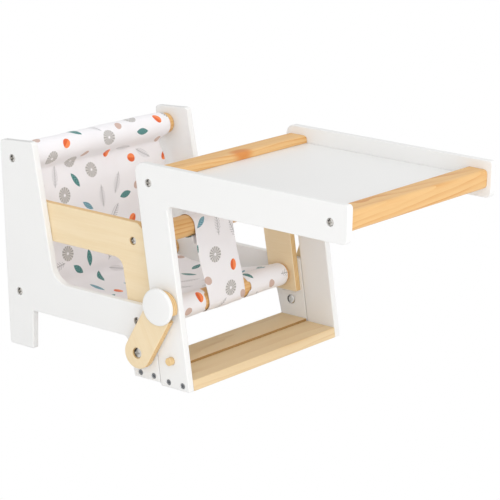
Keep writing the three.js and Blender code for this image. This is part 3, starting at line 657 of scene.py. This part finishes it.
def sew_sling(sewing, material):
    """The one-piece back and seat, with its top roll and the two sleeves on the front dowel."""
    path = sling_path(sewing)
    marks = path.marks
    row_spacing, columns = 3.4 * MM, 60
    cut_starts = marks["front"] - 26 * MM
    gap_middle = 4.5 * MM

    def edges(s):
        pinch = smooth(s, marks["pinch"] - 12 * MM, marks["pinch"] - 2 * MM)
        half = sewing.roll_half_width + (sewing.pinch_half_width - sewing.roll_half_width) * pinch
        flare = smooth(s, marks["pinch"], marks["pinch"] + sewing.pinch_length)
        half += (sewing.back_half_width - sewing.pinch_half_width) * flare
        narrow = smooth(s, marks["foot"] - 60 * MM, marks["corner"])
        half += (sewing.seat_half_width - sewing.back_half_width) * narrow
        return -half, half

    def relief(x, s):
        half = edges(s)[1]
        inward = 1 - (x / half) ** 2
        on_back = smooth(s, marks["pinch"], marks["pinch"] + 30 * MM)
        on_back *= 1 - smooth(s, marks["foot"], marks["corner"])
        on_seat = smooth(s, marks["corner"], marks["corner"] + 30 * MM)
        on_seat *= 1 - smooth(s, marks["front"] - 35 * MM, marks["front"])
        gathers = math.exp(-(((s - marks["pinch"] - 9 * MM) / (11 * MM)) ** 2))
        folds = 0.9 * MM * gathers * math.sin(x / (5.2 * MM) + 3 * math.sin(x / (31 * MM)))
        soft = 1.0 * MM * on_back * math.sin(x / (17 * MM) + 1.4 * math.sin(s / (28 * MM)))
        tension = 0.9 * MM * on_seat * math.sin((x + 0.5 * s) / (15 * MM) + 1.2 * math.sin(s / (35 * MM)))
        # Never inwards, so that the cloth stays clear of the dowels that it wraps.
        wrinkle = 0.25 * MM * (1 + math.sin(x / (9 * MM) + 2.0 * math.sin(s / (13 * MM))))
        belly = 4 * MM * on_back * inward
        dip = -5 * MM * on_seat * inward
        on_roll = 1 - smooth(s, marks["pinch"] - 8 * MM, marks["pinch"])
        drawn_in = -1.4 * MM * on_roll * smooth(abs(x), half - 14 * MM, half)
        return folds + soft + tension + wrinkle + belly + dip + drawn_in

    def keep(x, s):
        if s < cut_starts:
            return True
        on_dowel = (s - marks["front"]) / (marks["end"] - marks["front"])
        cut_back = 4 * MM * math.exp(-(((on_dowel - 0.38) / 0.2) ** 2))
        from_middle = x - gap_middle
        return abs(from_middle) > sewing.sleeve_gap + (cut_back if from_middle > 0 else 0.3 * cut_back)

    shape = sew_sheet(path, row_spacing, columns, edges, relief, keep)
    sling = make_piece("seat_sling_sewn", shape, material, math.pi, "chair")
    thicken(sling, sewing.cloth_thickness)
    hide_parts("seat_sling")
    return sling


def sew_strap(sewing, material):
    """The strap between the doll's legs: under the front dowel and up to its loop on the bar."""
    front, bar = middle_of("seat_front_dowel"), middle_of("safety_bar")
    wrap = dowel_radius() + sewing.sleeve + 0.5 * MM
    loop = dowel_radius() + sewing.sleeve
    path = ClothPath(front.x + 34 * MM, front.y - 9 * MM)
    path.around(front, wrap, 205, 350).mark("dowel")
    path.around(bar, loop, 8, 318).mark("loop")
    path.to(bar.x - loop + 1.2 * MM, bar.y - loop - 7 * MM, steps=3)
    marks = path.marks
    row_spacing, columns = 3.0 * MM, 24

    def edges(s):
        at_bar = smooth(s, marks["dowel"] - 6 * MM, marks["dowel"] + 70 * MM)
        centre = 3 * MM - 9.5 * MM * at_bar
        under = 1 - smooth(s, 2 * MM, 16 * MM)
        half = sewing.strap_half_width + 1 * MM * at_bar + 5 * MM * under
        return centre - half, centre + half

    def relief(x, s):
        rising = smooth(s, marks["dowel"], marks["dowel"] + 20 * MM)
        rising *= 1 - smooth(s, marks["dowel"] + 60 * MM, marks["dowel"] + 78 * MM)
        cup = 2.2 * MM * rising * math.cos(x / (24 * MM))
        # The strap wraps its dowels from the other side, so away from them is negative here.
        ripple = 0.3 * MM * (1 + math.sin(x / (8 * MM) + 2 * math.sin(s / (17 * MM))))
        return -ripple - cup

    shape = sew_sheet(path, row_spacing, columns, edges, relief, lambda x, s: True)
    strap = make_piece("crotch_strap_sewn", shape, material, math.pi, "chair")
    thicken(strap, sewing.cloth_thickness)
    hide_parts("crotch_strap")
    return strap


# ---------------------------------------------------------------- operators


class HIGHCHAIR_OT_lacquered_boards(bpy.types.Operator):
    """Finish the white side boards, the desk panel and the latch knobs"""

    bl_idname = "high_chair.lacquered_boards"
    bl_label = "Lacquered Boards"

    def execute(self, context):
        colours = settings()[0]
        lacquer = white_lacquer(colours)
        for node in both("chair_side"):
            finish_board(node, lacquer, "chair")
        for node in [*both("table_side"), "desk_panel"]:
            finish_board(node, lacquer, "table")
        for side in ("left", "right"):
            node = f"latch_knob_{side}"
            low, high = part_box(node)
            radius = (high.z - low.z) / 2
            outward = 1 if side == "right" else -1
            outer, inner = (high.x, low.x) if side == "right" else (low.x, high.x)
            rim = rounded(outer, radius, 2.5 * MM, outward, steps=8)
            back = [(inner, 0), (inner, radius - 0.4 * MM), (inner + outward * 0.4 * MM, radius)]
            profile = back + rim + [(outer, 0)] if outward > 0 else [(outer, 0)] + rim + back[::-1]
            turned_piece(node, profile, lacquer, f"latch_{side}", 96, 50)
        return {"FINISHED"}


class HIGHCHAIR_OT_plywood_pieces(bpy.types.Operator):
    """Finish the birch plywood arms, latches and pegs"""

    bl_idname = "high_chair.plywood_pieces"
    bl_label = "Plywood Pieces"

    def execute(self, context):
        colours = settings()[0]
        for node, body, grain in (("arm", "chair", (1, 0)), ("latch", "latch", (0.48, 0.87))):
            low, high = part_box(f"{node}_right")
            ply = birch_plywood(f"birch_plywood_{node}", colours, low.x, high.x - low.x, grain)
            for side in ("left", "right"):
                carried = body if body == "chair" else f"latch_{side}"
                finish_board(f"{node}_{side}", ply, carried, 30)
        # The pegs are cut from birch dowel, so their ends are end grain.
        end_grain = softwood(
            "birch_dowel_end",
            colours.ply_long,
            colours.ply_cross,
            colours.ply_cross,
            ring=1.4 * MM,
            pith=(0.0, 20 * MM),
        )
        for node in both("lower_peg") + both("upper_peg"):
            finish_board(node, end_grain, "table", 40)
        return {"FINISHED"}


class HIGHCHAIR_OT_pine_bars(bpy.types.Operator):
    """Turn the dowels and finish the two tray bars"""

    bl_idname = "high_chair.pine_bars"
    bl_label = "Pine Bars"

    def execute(self, context):
        colours = settings()[0]
        wood = (colours.pine_early, colours.pine_late, colours.pine_knot)
        rear, front = middle_of("tray_rear_bar"), middle_of("tray_front_bar")
        rear_knots = [((12 * MM, rear.x - 9 * MM, rear.y + 8 * MM), 13 * MM)]
        front_knots = [((-50 * MM, front.x + 5 * MM, front.y - 2 * MM), 6 * MM)]
        for node, middle, pith, lean, knots in (
            ("tray_rear_bar", rear, (-30 * MM, -26 * MM), 0.03, rear_knots),
            ("tray_front_bar", front, (22 * MM, -34 * MM), -0.07, front_knots),
        ):
            heart = (middle.x + pith[0], middle.y + pith[1])
            pine = softwood(f"pine_oiled_{node}", *wood, ring=5.5 * MM, pith=heart, lean=lean, knots=knots)
            finish_board(node, pine, "table", 40)
        for node in ("back_top_dowel", "seat_rear_dowel", "seat_front_dowel", "safety_bar"):
            middle = middle_of(node)
            heart = (middle.x - 18 * MM, middle.y - 15 * MM)
            pine = softwood(f"pine_oiled_{node}", *wood, ring=4.5 * MM, pith=heart, lean=0.02)
            low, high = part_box(node)
            radius = (high.z - low.z) / 2
            ease = 1.2 * MM
            profile = [(low.x, 0)] + rounded(low.x, radius, ease, -1) + rounded(high.x, radius, ease, 1)
            turned_piece(node, profile + [(high.x, 0)], pine, "chair")
        return {"FINISHED"}


class HIGHCHAIR_OT_footboards(bpy.types.Operator):
    """Finish the two footboards"""

    bl_idname = "high_chair.footboards"
    bl_label = "Footboards"

    def execute(self, context):
        colours = settings()[0]
        # The rear footboard's front edge gets the painted shade of the gap between the footboards.
        for node, body, lean, painted_front_shade in (
            ("chair_footboard", "chair", 0.015, colours.tread_front_shade),
            ("table_footboard", "table", -0.012, None),
        ):
            middle = middle_of(node)
            tread = softwood(
                f"softwood_{node}",
                colours.tread_early,
                colours.tread_late,
                colours.pine_knot,
                ring=6 * MM,
                pith=(middle.x + 12 * MM, middle.y - 45 * MM),
                lean=lean,
                painted_front_shade=painted_front_shade,
            )
            finish_board(node, tread, body, 30)
        return {"FINISHED"}


class HIGHCHAIR_OT_hardware(bpy.types.Operator):
    """Finish the bolts, nuts, screws and hinges"""

    bl_idname = "high_chair.hardware"
    bl_label = "Hardware"

    def execute(self, context):
        colours = settings()[0]
        nickel = plated_metal("nickel_plated_steel", colours.nickel, 0.16)
        zinc = plated_metal("zinc_plated_steel", colours.zinc, 0.28)
        for body, nodes in frame["record"]["behaviour"]["bodies"].items():
            for node in nodes:
                if "bolt" in node or "nut" in node:
                    finish_board(node, nickel, body, 40)
                elif "screw" in node or "hinge" in node:
                    finish_board(node, zinc, body, 40)
        return {"FINISHED"}


class HIGHCHAIR_OT_sewn_seat(bpy.types.Operator):
    """Sew the cotton sling and the strap"""

    bl_idname = "high_chair.sewn_seat"
    bl_label = "Sewn Seat"

    def execute(self, context):
        colours, sewing, _ = settings()
        cotton = printed_cotton(colours, sewing.motif)
        sew_sling(sewing, cotton)
        sew_strap(sewing, cotton)
        return {"FINISHED"}


class HIGHCHAIR_OT_studio(bpy.types.Operator):
    """Set up the floor, the lights and the camera"""

    bl_idname = "high_chair.studio"
    bl_label = "Studio"

    def execute(self, context):
        studio = settings()[2]
        scene = context.scene
        scene.view_settings.view_transform = "Standard"

        # A soft light all round, a little stronger from the front and from low down. The view
        # itself is pure white, and bright metal sees a white room with a dim end behind it, so
        # that each head shows a light and a dark side.
        world = bpy.data.worlds.new("even_studio_light")
        world.use_nodes = True
        tree = world.node_tree
        tree.nodes.clear()
        sees = add(tree, "LightPath").node.outputs
        direction = add(tree, "TexCoord")
        towards = add(tree, "SeparateXYZ", direction).node.outputs
        bright_end, dim_end, dimness = 0.48, 0.74, 0.02
        room = add(
            tree, "MapRange", towards["Y"], bright_end, dim_end, 1, dimness, interpolation_type="SMOOTHSTEP"
        )
        stronger_from = (-0.08, -0.3, -0.1)
        lean = add(tree, "VectorMath:DOT_PRODUCT", direction, stronger_from)
        soft = add(tree, "Math:MULTIPLY_ADD", lean, studio.sky, studio.sky)
        even = add(tree, "Background", (1, 1, 1, 1), soft)
        in_metal = add(tree, "Background", (1, 1, 1, 1), room)
        in_view = add(tree, "Background", (1, 1, 1, 1), 1.0)
        seen = add(tree, "MixShader", sees["Is Glossy Ray"], even, in_metal)
        seen = add(tree, "MixShader", sees["Is Camera Ray"], seen, in_view)
        add(tree, "OutputWorld", seen)
        scene.world = world

        # Matte white paper. It lights the object from below, and the view looks through it to
        # the white all round, so nothing under it is hidden when the table is folded down.
        paper = bpy.data.materials.new("matte_studio_paper")
        paper.use_nodes = True
        tree = paper.node_tree
        tree.nodes.clear()
        matte = add(tree, "BsdfDiffuse", studio.floor_colour)
        clear = add(tree, "BsdfTransparent", (1, 1, 1, 1))
        sees = add(tree, "LightPath").node.outputs
        add(tree, "OutputMaterial", add(tree, "MixShader", sees["Is Camera Ray"], matte, clear))
        reach = 3.0
        gap_under_feet = 0.1 * MM
        ground = bpy.data.meshes.new("studio_floor")
        corners = [(-reach, -reach, 0), (reach, -reach, 0), (reach, reach, 0), (-reach, reach, 0)]
        ground.from_pydata(corners, [], [(0, 1, 2, 3)])
        ground.materials.append(paper)
        floor = bpy.data.objects.new("studio_floor", ground)
        floor.location.z = -gap_under_feet
        floor.visible_glossy = False
        scene.collection.objects.link(floor)

        for name, place, size, power in (
            ("key_softbox", (-1.7, -1.8, 1.6), 2.4, studio.key),
            ("fill_softbox", (-1.3, -1.9, 0.55), 1.6, studio.fill),
        ):
            lamp = bpy.data.lights.new(name, "AREA")
            lamp.shape = "SQUARE"
            lamp.size = size
            lamp.energy = power
            light = bpy.data.objects.new(name, lamp)
            light.location = place
            light.rotation_euler = (-light.location).to_track_quat("-Z", "Y").to_euler()
            scene.collection.objects.link(light)

        full_frame_width = 36.0
        lens = bpy.data.cameras.new("camera")
        lens.lens = studio.lens
        lens.sensor_width = full_frame_width
        camera = bpy.data.objects.new("camera", lens)
        camera.location = studio.camera_place
        aim = Vector(studio.camera_aim).to_track_quat("-Z", "Y")
        camera.rotation_mode = "QUATERNION"
        camera.rotation_quaternion = aim @ Quaternion((0, 0, 1), studio.camera_roll)
        scene.collection.objects.link(camera)
        scene.camera = camera
        return {"FINISHED"}


OPERATORS = (
    HIGHCHAIR_OT_lacquered_boards,
    HIGHCHAIR_OT_plywood_pieces,
    HIGHCHAIR_OT_pine_bars,
    HIGHCHAIR_OT_footboards,
    HIGHCHAIR_OT_hardware,
    HIGHCHAIR_OT_sewn_seat,
    HIGHCHAIR_OT_studio,
)


class HIGHCHAIR_PT_panel(bpy.types.Panel):
    """The steps that finish the high chair"""

    bl_label = "High Chair"
    bl_idname = "HIGHCHAIR_PT_panel"
    bl_space_type = "VIEW_3D"
    bl_region_type = "UI"
    bl_category = "High Chair"

    def draw(self, context):
        for group in settings():
            for name in group.__annotations__:
                self.layout.prop(group, name)
        for operator in OPERATORS:
            self.layout.operator(operator.bl_idname)


CLASSES = (FinishColours, SewingSizes, StudioSizes, *OPERATORS, HIGHCHAIR_PT_panel)


def register():
    for cls in CLASSES:
        bpy.utils.register_class(cls)
    bpy.types.Scene.high_chair_colours = PointerProperty(type=FinishColours)
    bpy.types.Scene.high_chair_sewing = PointerProperty(type=SewingSizes)
    bpy.types.Scene.high_chair_studio = PointerProperty(type=StudioSizes)


def unregister():
    del bpy.types.Scene.high_chair_studio
    del bpy.types.Scene.high_chair_sewing
    del bpy.types.Scene.high_chair_colours
    for cls in reversed(CLASSES):
        bpy.utils.unregister_class(cls)


def main():
    register()
    bpy.ops.high_chair.studio()
    bpy.ops.high_chair.lacquered_boards()
    bpy.ops.high_chair.plywood_pieces()
    bpy.ops.high_chair.pine_bars()
    bpy.ops.high_chair.footboards()
    bpy.ops.high_chair.hardware()
    bpy.ops.high_chair.sewn_seat()


if __name__ == "__main__":
    main()
